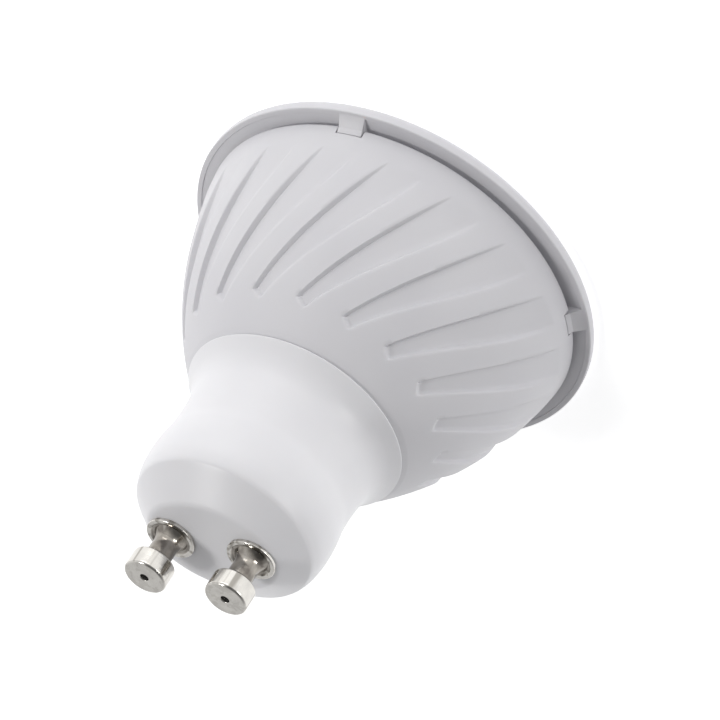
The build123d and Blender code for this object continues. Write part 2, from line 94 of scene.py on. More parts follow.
def weldedObject(name, bm):
    bmesh.ops.remove_doubles(bm, verts=bm.verts, dist=weldReach)
    bmesh.ops.recalc_face_normals(bm, faces=bm.faces)
    mesh = bpy.data.meshes.new(name)
    bm.to_mesh(mesh)
    bm.free()
    made = bpy.data.objects.new(name, mesh)
    bpy.context.scene.collection.objects.link(made)
    return made


def finishPiece(name, bm, material, replaced, sharpDeg):
    piece = weldedObject(name, bm)
    piece.data.shade_smooth()
    piece.data.set_sharp_from_angle(angle=math.radians(sharpDeg))
    piece.data.materials.append(material)
    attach(piece, "root")
    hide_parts(*replaced)
    return piece


def gridFaces(bm, rows, closeRows=False):
    # rows of equally many points, each row a closed loop round the axis
    verts = [[bm.verts.new(Vector(p) * mm) for p in row] for row in rows]
    count = len(rows[0])
    last = len(rows) if closeRows else len(rows) - 1
    for j in range(last):
        a, b = verts[j], verts[(j + 1) % len(rows)]
        for i in range(count):
            k = (i + 1) % count
            bm.faces.new((a[i], a[k], b[k], b[i]))
    return verts


def roundedLoop(corners, steps):
    # corners are (r, z, rounding); each rounding becomes an arc with one extra row on either side
    longest, support = 0.49, 0.35  # of the edge beside the arc, and of the arc's radius
    points = []
    count = len(corners)
    for i, (r, z, rounding) in enumerate(corners):
        here = Vector((r, z))
        if rounding <= 0:
            points.append(here)
            continue
        before = Vector(corners[i - 1][:2]) - here
        after = Vector(corners[(i + 1) % count][:2]) - here
        u, v = before.normalized(), after.normalized()
        half = u.angle(v) / 2
        reach = min(rounding / math.tan(half), longest * before.length, longest * after.length)
        radius = reach * math.tan(half)
        centre = here + (u + v).normalized() * radius / math.sin(half)
        start, end = here + u * reach, here + v * reach
        points.append(start + u * min(support * radius, 0.5 * (before.length - reach)))
        a, b = start - centre, end - centre
        turn = a.angle(b)
        for k in range(steps + 1):
            t = k / steps
            p = (a * math.sin((1 - t) * turn) + b * math.sin(t * turn)) / math.sin(turn)
            points.append(centre + p)
        points.append(end + v * min(support * radius, 0.5 * (after.length - reach)))
    return points


def spinLoop(bm, loop, segments, centreX=0.0):
    rows = []
    for r, z in loop:
        row = []
        for i in range(segments):
            a = 2 * math.pi * i / segments
            row.append((centreX + r * math.cos(a), r * math.sin(a), z))
        rows.append(row)
    gridFaces(bm, rows, closeRows=True)


def applyBoolean(piece, tool, operation):
    modifier = piece.modifiers.new(operation.lower(), "BOOLEAN")
    modifier.operation = operation
    modifier.solver = "EXACT"
    modifier.object = tool
    depsgraph = bpy.context.evaluated_depsgraph_get()
    mesh = bpy.data.meshes.new_from_object(piece.evaluated_get(depsgraph), depsgraph=depsgraph)
    piece.modifiers.remove(modifier)
    old = piece.data
    piece.data = mesh
    bpy.data.meshes.remove(old)
    toolMesh = tool.data
    bpy.data.objects.remove(tool)
    bpy.data.meshes.remove(toolMesh)


# material helpers
def startMaterial(name):
    material = bpy.data.materials.new(name)
    material.use_nodes = True
    tree = material.node_tree
    shader = tree.nodes["Principled BSDF"]
    coords = tree.nodes.new("ShaderNodeTexCoord").outputs["Object"]
    return material, tree, shader, coords


def noiseNode(tree, coords, scale, detail=3.0, stretch=None):
    if stretch:
        mapping = tree.nodes.new("ShaderNodeMapping")
        mapping.inputs["Scale"].default_value = stretch
        tree.links.new(coords, mapping.inputs["Vector"])
        coords = mapping.outputs["Vector"]
    noise = tree.nodes.new("ShaderNodeTexNoise")
    noise.inputs["Scale"].default_value = scale
    noise.inputs["Detail"].default_value = detail
    tree.links.new(coords, noise.inputs["Vector"])
    return noise.outputs["Fac"]


def rangeNode(tree, value, low, high, fromLow=0.3, fromHigh=0.7):
    node = tree.nodes.new("ShaderNodeMapRange")
    node.inputs["From Min"].default_value = fromLow
    node.inputs["From Max"].default_value = fromHigh
    node.inputs["To Min"].default_value = low
    node.inputs["To Max"].default_value = high
    tree.links.new(value, node.inputs["Value"])
    return node.outputs["Result"]


def mixColor(tree, factor, a, b):
    node = tree.nodes.new("ShaderNodeMix")
    node.data_type = "RGBA"
    tree.links.new(factor, node.inputs["Factor"])
    for socket, value in ((node.inputs["A"], a), (node.inputs["B"], b)):
        if isinstance(value, tuple):
            socket.default_value = (*value, 1)
        else:
            tree.links.new(value, socket)
    return node.outputs["Result"]


def mathNode(tree, operation, a, b):
    node = tree.nodes.new("ShaderNodeMath")
    node.operation = operation
    tree.links.new(a, node.inputs[0])
    tree.links.new(b, node.inputs[1])
    return node.outputs["Value"]


def bumpNode(tree, height, strength, depthMm, under=None):
    node = tree.nodes.new("ShaderNodeBump")
    node.inputs["Strength"].default_value = strength
    node.inputs["Distance"].default_value = depthMm * mm
    tree.links.new(height, node.inputs["Height"])
    if under:
        tree.links.new(under, node.inputs["Normal"])
    return node.outputs["Normal"]


# one recipe for moulded, sleeved, lacquered and metal surfaces; each surface's looks give its colours,
# its roughness and what differs from these; depths are in millimetres
plainLooks = {
    "cloudScale": 500, "cloudDetail": 2.0, "grainScale": 3000, "grainDetail": 4.0, "stretch": None,
    "roughSpread": 0.06,
    "waveStrength": 0.2, "waveDepth": 0.02, "grainStrength": 0.2, "grainDepth": 0.01,
    "metallic": 0.0, "coat": 0.0, "coatRoughness": 0.1, "ior": 1.5,
    "subsurface": 0.0, "subsurfaceRadius": (1.0, 0.9, 0.8),
}


def grainMaterial(name, ownLooks):
    looks = {**plainLooks, **ownLooks}
    material, tree, shader, coords = startMaterial(name)
    cloud = noiseNode(tree, coords, looks["cloudScale"], looks["cloudDetail"])
    grain = noiseNode(tree, coords, looks["grainScale"], looks["grainDetail"], looks["stretch"])
    color = mixColor(tree, rangeNode(tree, cloud, 0, 1), looks["colorA"], looks["colorB"])
    tree.links.new(color, shader.inputs["Base Color"])
    rough, spread = looks["roughness"], looks["roughSpread"]
    tree.links.new(rangeNode(tree, grain, rough - spread, rough + spread), shader.inputs["Roughness"])
    waves = bumpNode(tree, cloud, looks["waveStrength"], looks["waveDepth"])
    bumps = bumpNode(tree, grain, looks["grainStrength"], looks["grainDepth"], waves)
    tree.links.new(bumps, shader.inputs["Normal"])
    shader.inputs["Metallic"].default_value = looks["metallic"]
    shader.inputs["IOR"].default_value = looks["ior"]
    shader.inputs["Coat Weight"].default_value = looks["coat"]
    shader.inputs["Coat Roughness"].default_value = looks["coatRoughness"]
    if looks["subsurface"]:
        shader.inputs["Subsurface Weight"].default_value = looks["subsurface"]
        shader.inputs["Subsurface Radius"].default_value = looks["subsurfaceRadius"]
        shader.inputs["Subsurface Scale"].default_value = looks["subsurfaceMm"] * mm
    return material


# white mouldings: the base is smoother than the cup and the ring
basePlasticLooks = {
    "colorA": (0.725, 0.722, 0.748), "colorB": (0.755, 0.752, 0.776),
    "cloudScale": 90, "grainScale": 2600, "roughness": 0.36, "roughSpread": 0.05,
    "waveStrength": 0.25, "waveDepth": 0.05, "grainStrength": 0.12, "subsurface": 0.12, "subsurfaceMm": 0.8,
}
cupPlasticLooks = {
    "colorA": (0.61, 0.605, 0.636), "colorB": (0.645, 0.64, 0.666),
    "cloudScale": 70, "grainScale": 3200, "roughness": 0.5,
    "waveStrength": 0.3, "waveDepth": 0.06, "grainDepth": 0.012, "subsurface": 0.1, "subsurfaceMm": 0.8,
}
basePlastic = grainMaterial("basePlastic", basePlasticLooks)
cupPlastic = grainMaterial("cupPlastic", cupPlasticLooks)


# fluted cup: a dome whose grid follows the slanting flutes, so each flute wall has columns of its own;
# fluteTop is the narrow end, fluteEnd the wide one, and turn, sweep and lead are in degrees
cup = {
    "rimR": 23.1, "rimZ": 2.6, "bandZ": 2.9, "rimRound": 0.12,
    "midR": 20.4, "midZ": 13.5, "topR": 13.1,
    "wall": 1.5, "seatR": 22.3, "seatZ": 2.0, "seamRound": 0.28,
    "spigotR": 10.8, "spigotWall": 1.2, "spigotTop": 28.6,
    "flutes": 18, "fluteTurn": 1.35, "fluteTop": 21.7, "fluteEnd": 5.4, "sweep": 30.0, "lead": 42.0,
    "narrow": 1.5, "wide": 3.9, "depth": 0.62, "lean": 0.3, "clear": 1.2,
    "steepWidth": 0.14, "steepSoft": 0.25, "slopeNarrow": 0.5, "slopeWide": 1.1, "slopeWidth": 0.6,
    "notch": 0.14, "notchWidth": 0.22, "shallowEnd": 0.85, "shallowPart": 0.4, "fadePower": 4.5,
    "endWall": 0.7, "endLean": 0.45,
    "floorCells": 5, "notchCells": 3, "wallCells": 6, "landCells": 7, "rowsAlong": 64, "endRows": 14,
    "seamRows": 3, "rimRows": 4, "innerRows": 18, "bareRows": (25.3, 24.7, 24.1, 23.5, 23.0),
    "rimwardRows": (5.2, 5.0, 4.8, 4.6, 4.4, 4.2, 4.0, 3.8), "pocketRows": (3.4, 3.2, 3.05),
    "pockets": 4, "pocketHalf": 1.6, "pocketTop": 3.6, "pocketIn": 22.1, "pocketSideIn": 0.7,
    "alignFrom": 5.2, "alignTo": 4.2,
}


def arcThrough(a, b, c):
    (ax, ay), (bx, by), (cx, cy) = a, b, c
    d = 2 * (ax * (by - cy) + bx * (cy - ay) + cx * (ay - by))
    sa, sb, sc = ax * ax + ay * ay, bx * bx + by * by, cx * cx + cy * cy
    ux = (sa * (by - cy) + sb * (cy - ay) + sc * (ay - by)) / d
    uy = (sa * (cx - bx) + sb * (ax - cx) + sc * (bx - ax)) / d
    return ux, uy, math.hypot(ax - ux, ay - uy)


cupArc = arcThrough((cup["rimR"], cup["bandZ"]), (cup["midR"], cup["midZ"]), (cup["topR"], seamZ))


def cupRadius(z, inset=0.0):
    centreR, centreZ, arcR = cupArc
    return centreR + math.sqrt((arcR - inset) ** 2 - (z - centreZ) ** 2)


def fluteAt(z):
    # turn in degrees, places of the four wall edges across the flute, and depth at height z
    length = cup["fluteTop"] - cup["fluteEnd"]
    along = min((cup["fluteTop"] - z) / length, 1.0)
    inFlute = max(along, 0.0)
    curve = (cup["lead"] - cup["sweep"]) * inFlute ** 2
    turn = cup["fluteTurn"] - (cup["lead"] * along - curve)
    widthShare = math.sin(math.radians(90 * inFlute))
    half = mix(cup["narrow"], cup["wide"], widthShare) / 2
    depth = cup["depth"] * (1 - inFlute ** cup["fadePower"])
    depth *= mix(cup["shallowEnd"], 1.0, smoothStep(along / cup["shallowPart"]))
    floorHalf = half - cup["lean"] / 2
    openHalf = floorHalf + depth / (depth + cup["clear"]) * cup["lean"] / 2 + cup["lean"] * depth
    slope = mix(cup["slopeNarrow"], cup["slopeWide"], inFlute)
    soft = cup["steepSoft"] * inFlute ** 2
    slopeOut = -openHalf - slope
    edges = (slopeOut, slopeOut + cup["slopeWidth"], openHalf - cup["steepWidth"] - soft, openHalf)
    return turn, edges, depth


def fluteColumns(z):
    # angle and depth of every column at height z
    r = cupRadius(max(z, cup["bandZ"]))
    turn, (slopeOut, slopeIn, steepIn, steepOut), depth = fluteAt(z)
    pitch = 2 * math.pi * r / cup["flutes"]
    stopZ = cup["fluteTop"] + cup["endWall"]

    def cell(x, level, fluteX):
        # the end wall of the flute stands at a slant, so it depends on the place across the flute
        ending = smoothStep((stopZ - cup["endLean"] * fluteX - z) / cup["endWall"])
        across.append((x, level * ending))

    across = []
    notchFrom = steepIn - cup["notchWidth"]
    for k in range(cup["floorCells"]):
        x = mix(slopeIn, notchFrom, k / cup["floorCells"])
        cell(x, 1.0, x)
    # fine dark line at the foot of the steep wall
    for k in range(cup["notchCells"]):
        t = k / cup["notchCells"]
        cell(mix(notchFrom, steepIn, t), 1 + cup["notch"] * smoothStep(t), steepIn)
    for k in range(cup["wallCells"]):
        t = k / cup["wallCells"]
        x = mix(steepIn, steepOut, t)
        cell(x, (1 + cup["notch"]) * (1 - smoothStep(t)), x)
    for k in range(cup["landCells"]):
        across.append((mix(steepOut, pitch + slopeOut, k / cup["landCells"]), 0.0))
    for k in range(cup["wallCells"]):
        t = k / cup["wallCells"]
        x = mix(slopeOut, slopeIn, t)
        cell(pitch + x, smoothStep(t), x)
    angles, depths = [], []
    for i in range(cup["flutes"]):
        start = math.radians(turn + 360 * i / cup["flutes"])
        angles += [start + x / r for x, level in across]
        depths += [level * depth for x, level in across]
    return angles, depths


def pocketEdges():
    # angles of the pocket sides, each with the side on which the pocket lies
    half = math.asin(cup["pocketHalf"] / (cup["rimR"] - cup["pocketSideIn"]))
    edges = []
    for i in range(cup["pockets"]):
        middle = 2 * math.pi * i / cup["pockets"]
        edges += [(middle - half, 1), (middle + half, -1)]
    return sorted(edges)


def alignedAngles(angles):
    # shifts the rim's columns so that a column lies on each side of each pocket
    turnFull = 2 * math.pi
    first = angles[0]
    edges = sorted(((e - first) % turnFull + first, side) for e, side in pocketEdges())
    anchors = []
    for e, side in edges:
        k = min(range(len(angles)), key=lambda i: abs(angles[i] - e))
        anchors.append((k, angles[k], e, side))
    shifted = []
    lastOne = (-1, anchors[-1][1] - turnFull, anchors[-1][2] - turnFull, 0)
    firstOne = (len(angles), anchors[0][1] + turnFull, anchors[0][2] + turnFull, 0)
    around = [lastOne, *anchors, firstOne]
    for i, a in enumerate(angles):
        a0, e0 = [n for n in around if n[0] <= i][-1][1:3]
        a1, e1 = [n for n in around if n[0] > i][0][1:3]
        shifted.append(e0 + (a - a0) * (e1 - e0) / (a1 - a0))
    return shifted, {n[0]: n[3] for n in anchors}


def makeCup():
    rimAngles, _ = fluteColumns(cup["fluteEnd"])
    pocketAngles, sides = alignedAngles(rimAngles)
    count = len(rimAngles)
    # column order with the pocket sides doubled: an outer copy and an inner copy
    order = []
    inside = sides[min(sides)] == -1
    for i in range(count):
        if i in sides:
            order.append((i, inside))
            inside = sides[i] == 1
            order.append((i, inside))
        else:
            order.append((i, inside))

    def row(r, z, angles, depths, inPocketR=None, inPocketZ=None):
        points = []
        for i, within in order:
            radius, height = r - depths[i], z
            if within and inPocketR is not None:
                radius, height = inPocketR, inPocketZ
            points.append((radius * math.cos(angles[i]), radius * math.sin(angles[i]), height))
        return points

    flat = [0.0] * count
    rows = []
    top = seamZ
    heights = [top - cup["seamRound"] * 2, *cup["bareRows"]]
    leanReach = cup["endLean"] * cup["narrow"] / 2
    endHigh, endLow = cup["fluteTop"] + cup["endWall"] + leanReach, cup["fluteTop"] - leanReach
    heights += [mix(endHigh, endLow, k / cup["endRows"]) for k in range(cup["endRows"])]
    heights += [mix(endLow, cup["fluteEnd"], k / cup["rowsAlong"]) for k in range(cup["rowsAlong"] + 1)]
    heights += cup["rimwardRows"]
    topAngles, _ = fluteColumns(top)
    rounded = cup["seamRound"]
    for k in range(cup["seamRows"]):
        a = math.radians(90 * k / cup["seamRows"])
        rows.append(row(cupRadius(top) - rounded * (1 - math.sin(a)), top - rounded * (1 - math.cos(a)),
                        topAngles, flat))
    for z in heights:
        angles, depths = fluteColumns(z)
        if z < cup["alignFrom"]:
            t = smoothStep((cup["alignFrom"] - z) / (cup["alignFrom"] - cup["alignTo"]))
            angles = [mix(a, b, t) for a, b in zip(rimAngles, pocketAngles)]
        rows.append(row(cupRadius(z), z, angles, depths if z > cup["fluteEnd"] else flat))
    pocketTop, pocketIn = cup["pocketTop"], cup["pocketIn"]
    rows.append(row(cupRadius(pocketTop), pocketTop, pocketAngles, flat))
    rows.append(row(cupRadius(pocketTop), pocketTop, pocketAngles, flat, pocketIn, pocketTop))
    for z in cup["pocketRows"]:
        rows.append(row(cupRadius(z), z, pocketAngles, flat, pocketIn, z))
    rimR, rimZ, corner = cup["rimR"], cup["rimZ"], cup["rimRound"]
    rows.append(row(rimR, cup["bandZ"], pocketAngles, flat, pocketIn, cup["bandZ"]))
    for k in range(cup["rimRows"] + 1):
        a = math.radians(90 * k / cup["rimRows"])
        z = rimZ + corner * (1 - math.sin(a))
        rows.append(row(rimR - corner * (1 - math.cos(a)), z, pocketAngles, flat, pocketIn, z))
    rows.append(row(rimR - 2 * corner, rimZ, pocketAngles, flat, pocketIn, rimZ))
    rows.append(row(cup["seatR"], rimZ, pocketAngles, flat, pocketIn, rimZ))
    rows.append(row(cup["seatR"], cup["seatZ"], pocketAngles, flat, pocketIn, cup["seatZ"]))
    innerR = cupRadius(cup["bandZ"], cup["wall"])
    rows.append(row(innerR, cup["seatZ"], pocketAngles, flat))
    innerTop = seamZ - cup["wall"]
    for k in range(cup["innerRows"] + 1):
        t = k / cup["innerRows"]
        z = mix(cup["bandZ"], innerTop, t)
        angles = [mix(a, b, t) for a, b in zip(pocketAngles, topAngles)]
        rows.append(row(cupRadius(z, cup["wall"]), z, angles, flat))
    boreR = cup["spigotR"] - cup["spigotWall"]
    for r, z in ((boreR, innerTop), (boreR, cup["spigotTop"]), (cup["spigotR"], cup["spigotTop"]),
                 (cup["spigotR"], seamZ)):
        rows.append(row(r, z, topAngles, flat))
    bm = bmesh.new()
    gridFaces(bm, rows, closeRows=True)
    return finishPiece("flutedCup", bm, cupPlastic, ["cup_shell"], sharpDeg=50)


cupPiece = makeCup()
print("fluted cup:", len(cupPiece.data.polygons), "faces")


# base: revolved wall that turns through a soft bevel into the oval end face;
# wallPoints are radius and height along the side, from the lip at the seam to the bevel
base = {
    "wallPoints": (
        (13.2, 26.15), (12.6, 26.85), (12.05, 27.6), (11.6, 28.45), (11.28, 29.4), (11.08, 30.6),
        (10.97, 32.0), (10.93, 33.6), (10.98, 35.1), (11.18, 36.7), (11.32, 38.3), (11.3, 39.8),
        (11.12, 41.3), (10.7, 42.7),
    ),
    "lipRound": 0.14,
    "ovalX": 7.9, "ovalY": 6.2, "edgeRound": 0.3, "endRound": 0.5,
    "boreR": 9.45, "spigotR": 10.9, "spigotTop": 28.7, "boreTop": 41.1, "endT": 1.6, "wall": 1.5,
    "bossR": 2.65, "bossLow": 42.1, "holeR": 1.55, "rooted": 0.3, "cutPast": 1.0,
    "railIn": 7.7, "railLow": 30.5, "railT": 1.0, "railGap": 0.05,
    "segments": 256, "bossSegments": 64, "lipSteps": 4, "curveSteps": 5, "bendRows": 8, "bevelRows": 8,
    "boreRows": 4, "endShares": (0.85, 0.72, 0.55, 0.35, 0.15), "ceilingShares": (1.0, 0.6, 0.2),
}


def makeBase():
    seg = base["segments"]
    lipR = baseHigh.x
    wallCurve = smoothProfile(base["wallPoints"], base["curveSteps"])
    edgeR, edgeZ = wallCurve[-1]
    lip = roundedLoop([
        (base["spigotR"], seamZ, 0), (lipR, seamZ, base["lipRound"]), (*wallCurve[0], 0),
    ], base["lipSteps"])
    profile = [tuple(p) for p in lip]
    profile += [(r, z) for r, z in wallCurve[1:] if z < edgeZ - base["edgeRound"]]

    def ellipseRow(x, y, z):
        turns = [2 * math.pi * i / seg for i in range(seg)]
        return [(x * math.cos(a), y * math.sin(a), z) for a in turns]

    def roundRow(r, z):
        return ellipseRow(r, r, z)

    def oval(share, z, inset=0.0):
        return ellipseRow((base["ovalX"] - inset) * share, (base["ovalY"] - inset) * share, z)

    def blendRows(rowA, rowB, t):
        return [tuple(mix(a, b, t) for a, b in zip(p, q)) for p, q in zip(rowA, rowB)]

    def bend(rowA, rowB, rowC):
        # soft corner from row A past row B to row C
        out = []
        for k in range(base["bendRows"] + 1):
            t = k / base["bendRows"]
            out.append(blendRows(blendRows(rowA, rowB, t), blendRows(rowB, rowC, t), t))
        return out

    rows = [roundRow(r, z) for r, z in profile]
    corner = roundRow(edgeR, edgeZ)
    endEdge = oval(1.0, endZ)
    bevelLen = math.hypot(endZ - edgeZ, edgeR - (base["ovalX"] + base["ovalY"]) / 2)
    lowT = base["edgeRound"] / bevelLen
    highT = 1 - base["endRound"] / bevelLen
    rows += bend(rows[-1], corner, blendRows(corner, endEdge, lowT))[1:]
    for k in range(1, base["bevelRows"]):
        rows.append(blendRows(corner, endEdge, mix(lowT, highT, k / base["bevelRows"])))
    inShare = 1 - base["endRound"] / base["ovalX"]
    rows += bend(blendRows(corner, endEdge, highT), endEdge, oval(inShare, endZ))
    rows += [oval(share, endZ) for share in base["endShares"]]
    bm = bmesh.new()
    outer = gridFaces(bm, rows)
    bm.faces.new(outer[-1])
    # inside of the wall
    ceiling = endZ - base["endT"]
    inner = [roundRow(base["spigotR"], seamZ), roundRow(base["spigotR"], base["spigotTop"])]
    for k in range(base["boreRows"] + 1):
        inner.append(roundRow(base["boreR"], mix(base["spigotTop"], base["boreTop"], k / base["boreRows"])))
    inner += [oval(share, ceiling, base["wall"] / 2) for share in base["ceilingShares"]]
    innerVerts = gridFaces(bm, inner)
    bm.faces.new(innerVerts[-1][::-1])
    piece = finishPiece("twistLockBase", bm, basePlastic, ["base_shell"], sharpDeg=32)
    # pin bosses under the end face, and rails that hold the driver board's edges
    bosses = bmesh.new()
    bossTop = ceiling + base["rooted"]
    for side in (-1, 1):
        loop = [(axisR, base["bossLow"]), (base["bossR"], base["bossLow"]), (base["bossR"], bossTop),
                (axisR, bossTop)]
        spinLoop(bosses, loop, base["bossSegments"], side * pinX)
    railOut = base["boreR"] + base["rooted"]
    boardLow, boardHigh = boxMm("driver_board")
    middleY = (boardLow.y + boardHigh.y) / 2
    halfT = (boardHigh.y - boardLow.y) / 2
    for sideX in (-1, 1):
        for sideY in (-1, 1):
            y0 = middleY + sideY * (halfT + base["railGap"])
            y1 = y0 + sideY * base["railT"]
            near = sideX * base["railIn"]
            far = sideX * math.sqrt(railOut ** 2 - max(abs(y0), abs(y1)) ** 2)
            corners = [(near, y0), (far, y0), (far, y1), (near, y1)]
            low = [bosses.verts.new(Vector((x, y, base["railLow"])) * mm) for x, y in corners]
            high = [bosses.verts.new(Vector((x, y, base["boreTop"])) * mm) for x, y in corners]
            bosses.faces.new(low)
            bosses.faces.new(high[::-1])
            for i in range(4):
                k = (i + 1) % 4
                bosses.faces.new((low[i], high[i], high[k], low[k]))
    applyBoolean(piece, weldedObject("bossTool", bosses), "UNION")
    holes = bmesh.new()
    holeLow, holeTop = base["bossLow"] - base["cutPast"], endZ + base["cutPast"]
    for side in (-1, 1):
        loop = [(axisR, holeLow), (base["holeR"], holeLow), (base["holeR"], holeTop), (axisR, holeTop)]
        spinLoop(holes, loop, base["bossSegments"], side * pinX)
    applyBoolean(piece, weldedObject("holeTool", holes), "DIFFERENCE")
    return piece


basePiece = makeBase()
print("twist-lock base:", len(basePiece.data.polygons), "faces")


# front ring: rounded rim, ledge with an outer bead, lens lip, spigot and four snap hooks
ring = {
    "frontR": 24.0, "sideZ": 0.9, "plateauZ": 2.0, "beadW": 0.65, "beadH": 0.12, "openingR": 19.7,
    "lipT": 0.7, "slip": 0.1, "spigotTop": 3.9, "pocketR": 20.15, "segments": 256,
    "frontIn": 0.3, "frontRound": 0.8, "sideRound": 0.9, "openingRound": 0.15, "edgeRound": 0.1,
    "beadOutRound": 0.2, "beadInRound": 0.07, "beadFootRound": 0.05,
    "hooks": 4, "hookHalf": 1.5, "hookTop": 3.5, "hookIn": 22.2, "hookSlope": 0.55, "hookFoot": 0.2,
    "hookFootRise": 0.02, "hookShoulder": 0.25, "shoulderRound": 0.15, "crestRound": 0.12, "backRound": 0.1,
    "hookBevel": 0.09, "bevelShare": 0.3, "hookColumns": 7, "aroundSteps": 5, "hookSteps": 4,
}


def hookOutline(inset):
    # one snap hook seen along its width, from the bead up and over to its back
    top = ring["plateauZ"]
    beadTop = top + ring["beadH"]
    beadMid = ringHigh.x - ring["beadW"] / 2
    shoulderR = cup["rimR"] + ring["hookShoulder"] - inset
    corners = [
        (beadMid - inset, beadTop, 0),
        (beadMid - ring["hookFoot"] - inset, beadTop + ring["hookFootRise"], 0),
        (shoulderR, ring["hookTop"] - ring["hookSlope"] - inset, ring["shoulderRound"]),
        (cupRadius(ring["hookTop"]) - inset, ring["hookTop"] - inset, ring["crestRound"]),
        (ring["hookIn"] + inset, ring["hookTop"] - inset, ring["backRound"]),
        (ring["hookIn"] + inset, top, 0),
    ]
    return roundedLoop(corners, ring["hookSteps"])


def makeRing():
    outerR = ringHigh.x
    top = ring["plateauZ"]
    beadTop = top + ring["beadH"]
    beadMid = outerR - ring["beadW"] / 2
    beadIn = outerR - ring["beadW"]
    spigotR = cupRadius(ring["spigotTop"], cup["wall"]) - ring["slip"]
    # the loop starts in the middle of the bead and runs back to it round the outside
    edge = ring["edgeRound"]
    frontR = ring["frontR"] - ring["frontIn"]
    around = roundedLoop([
        (spigotR, top, 0), (spigotR, ring["spigotTop"], edge), (ring["pocketR"], ring["spigotTop"], edge),
        (ring["pocketR"], ring["lipT"], 0), (ring["openingR"], ring["lipT"], edge),
        (ring["openingR"], 0, ring["openingRound"]), (frontR, 0, ring["frontRound"]),
        (outerR, ring["sideZ"], ring["sideRound"]), (outerR, beadTop, ring["beadOutRound"]),
        (beadMid, beadTop, 0),
    ], ring["aroundSteps"])[:-1]
    hookRows = len(hookOutline(0.0))
    bead = roundedLoop([
        (beadMid, beadTop, 0), (beadIn, beadTop, ring["beadInRound"]), (beadIn, top, ring["beadFootRound"]),
        (spigotR, top, 0),
    ], ring["hookSteps"])[:-1]
    ledge = [Vector((mix(bead[-1].x, spigotR, (k + 1) / (hookRows - len(bead) + 1)), top))
             for k in range(hookRows - len(bead))]
    plain = bead + ledge
    # columns: angle and the profile that the column carries
    half = math.asin(ring["hookHalf"] / cup["rimR"])
    soft = ring["hookBevel"] / cup["rimR"]
    quarter = 2 * math.pi / ring["hooks"]
    share = ring["bevelShare"]
    bevelled, eased, full = (hookOutline(ring["hookBevel"] * part) for part in (1, share, 0))
    count = ring["segments"] // ring["hooks"]
    columns = []
    for i in range(ring["hooks"]):
        middle = i * quarter
        columns += [(middle - half, plain), (middle - half, bevelled), (middle - half + soft * share, eased)]
        for k in range(ring["hookColumns"]):
            columns.append((middle + mix(-half + soft, half - soft, k / (ring["hookColumns"] - 1)), full))
        columns += [(middle + half - soft * share, eased), (middle + half, bevelled), (middle + half, plain)]
        for k in range(1, count):
            columns.append((mix(middle + half, middle + quarter - half, k / count), plain))
    rows = []
    for j in range(hookRows):
        rows.append([(profile[j].x * math.cos(a), profile[j].x * math.sin(a), profile[j].y)
                     for a, profile in columns])
    for r, z in around:
        rows.append([(r * math.cos(a), r * math.sin(a), z) for a, _ in columns])
    bm = bmesh.new()
    gridFaces(bm, rows, closeRows=True)
    return finishPiece("frontRing", bm, cupPlastic, ["front_ring"], sharpDeg=35)


ringPiece = makeRing()
print("front ring:", len(ringPiece.data.polygons), "faces")


# contact pins: turned, hollow, with a dished flange
pin = {
    "headR": 2.5, "headH": 2.4, "headTopRound": 0.3, "headLowRound": 0.25, "neckR": 1.45,
    "flangeR": 2.9, "flangeT": 0.45, "rimW": 0.45, "dishSlope": 0.2, "dishW": 0.25, "dishDepth": 0.2,
    "trumpetH": 1.7, "hollow": 0.22, "midShare": 0.38, "tailRound": 0.15, "flangeLowRound": 0.08,
    "flangeTopRound": 0.16, "rimRound": 0.12, "dishRound": 0.08, "neckRound": 0.1, "boreRound": 0.1,
    "shankR": 1.5, "tailR": 2.2, "boreR": 0.5, "segments": 96, "cornerSteps": 6, "trumpetRows": 14,
}


def makePin(name, node, x):
    low, high = boxMm(node)
    headTop = high.z
    headLow = headTop - pin["headH"]
    flangeTop = endZ + pin["flangeT"]
    rimR = pin["flangeR"] - pin["rimW"]
    dishR = rimR - pin["dishSlope"]
    dishZ = flangeTop - pin["dishDepth"]
    start = (dishR - pin["dishW"], dishZ)
    end = (pin["neckR"], flangeTop + pin["trumpetH"])
    middle = (mix(pin["neckR"], start[0], pin["hollow"]), mix(dishZ, end[1], pin["midShare"]))
    centreR, centreZ, arcR = arcThrough(start, middle, end)
    a0 = math.atan2(start[1] - centreZ, start[0] - centreR)
    a1 = math.atan2(end[1] - centreZ, end[0] - centreR)
    if a0 - a1 > math.pi:
        a1 += 2 * math.pi
    if a1 - a0 > math.pi:
        a0 += 2 * math.pi
    trumpet = []
    for k in range(pin["trumpetRows"] + 1):
        a = mix(a0, a1, k / pin["trumpetRows"])
        trumpet.append((centreR + arcR * math.cos(a), centreZ + arcR * math.sin(a), 0))
    corners = [
        (pin["boreR"], low.z, 0), (pin["tailR"], low.z, pin["tailRound"]), (pin["tailR"], base["bossLow"], 0),
        (pin["shankR"], base["bossLow"], 0), (pin["shankR"], endZ, 0),
        (pin["flangeR"], endZ, pin["flangeLowRound"]), (pin["flangeR"], flangeTop, pin["flangeTopRound"]),
        (rimR, flangeTop, pin["rimRound"]), (dishR, dishZ, pin["dishRound"]),
        *trumpet,
        (pin["neckR"], headLow, pin["neckRound"]), (pin["headR"], headLow, pin["headLowRound"]),
        (pin["headR"], headTop, pin["headTopRound"]), (pin["boreR"], headTop, pin["boreRound"]),
    ]
    bm = bmesh.new()
    spinLoop(bm, roundedLoop(corners, pin["cornerSteps"]), pin["segments"], x)
    return finishPiece(name, bm, nickel, [node], sharpDeg=35)


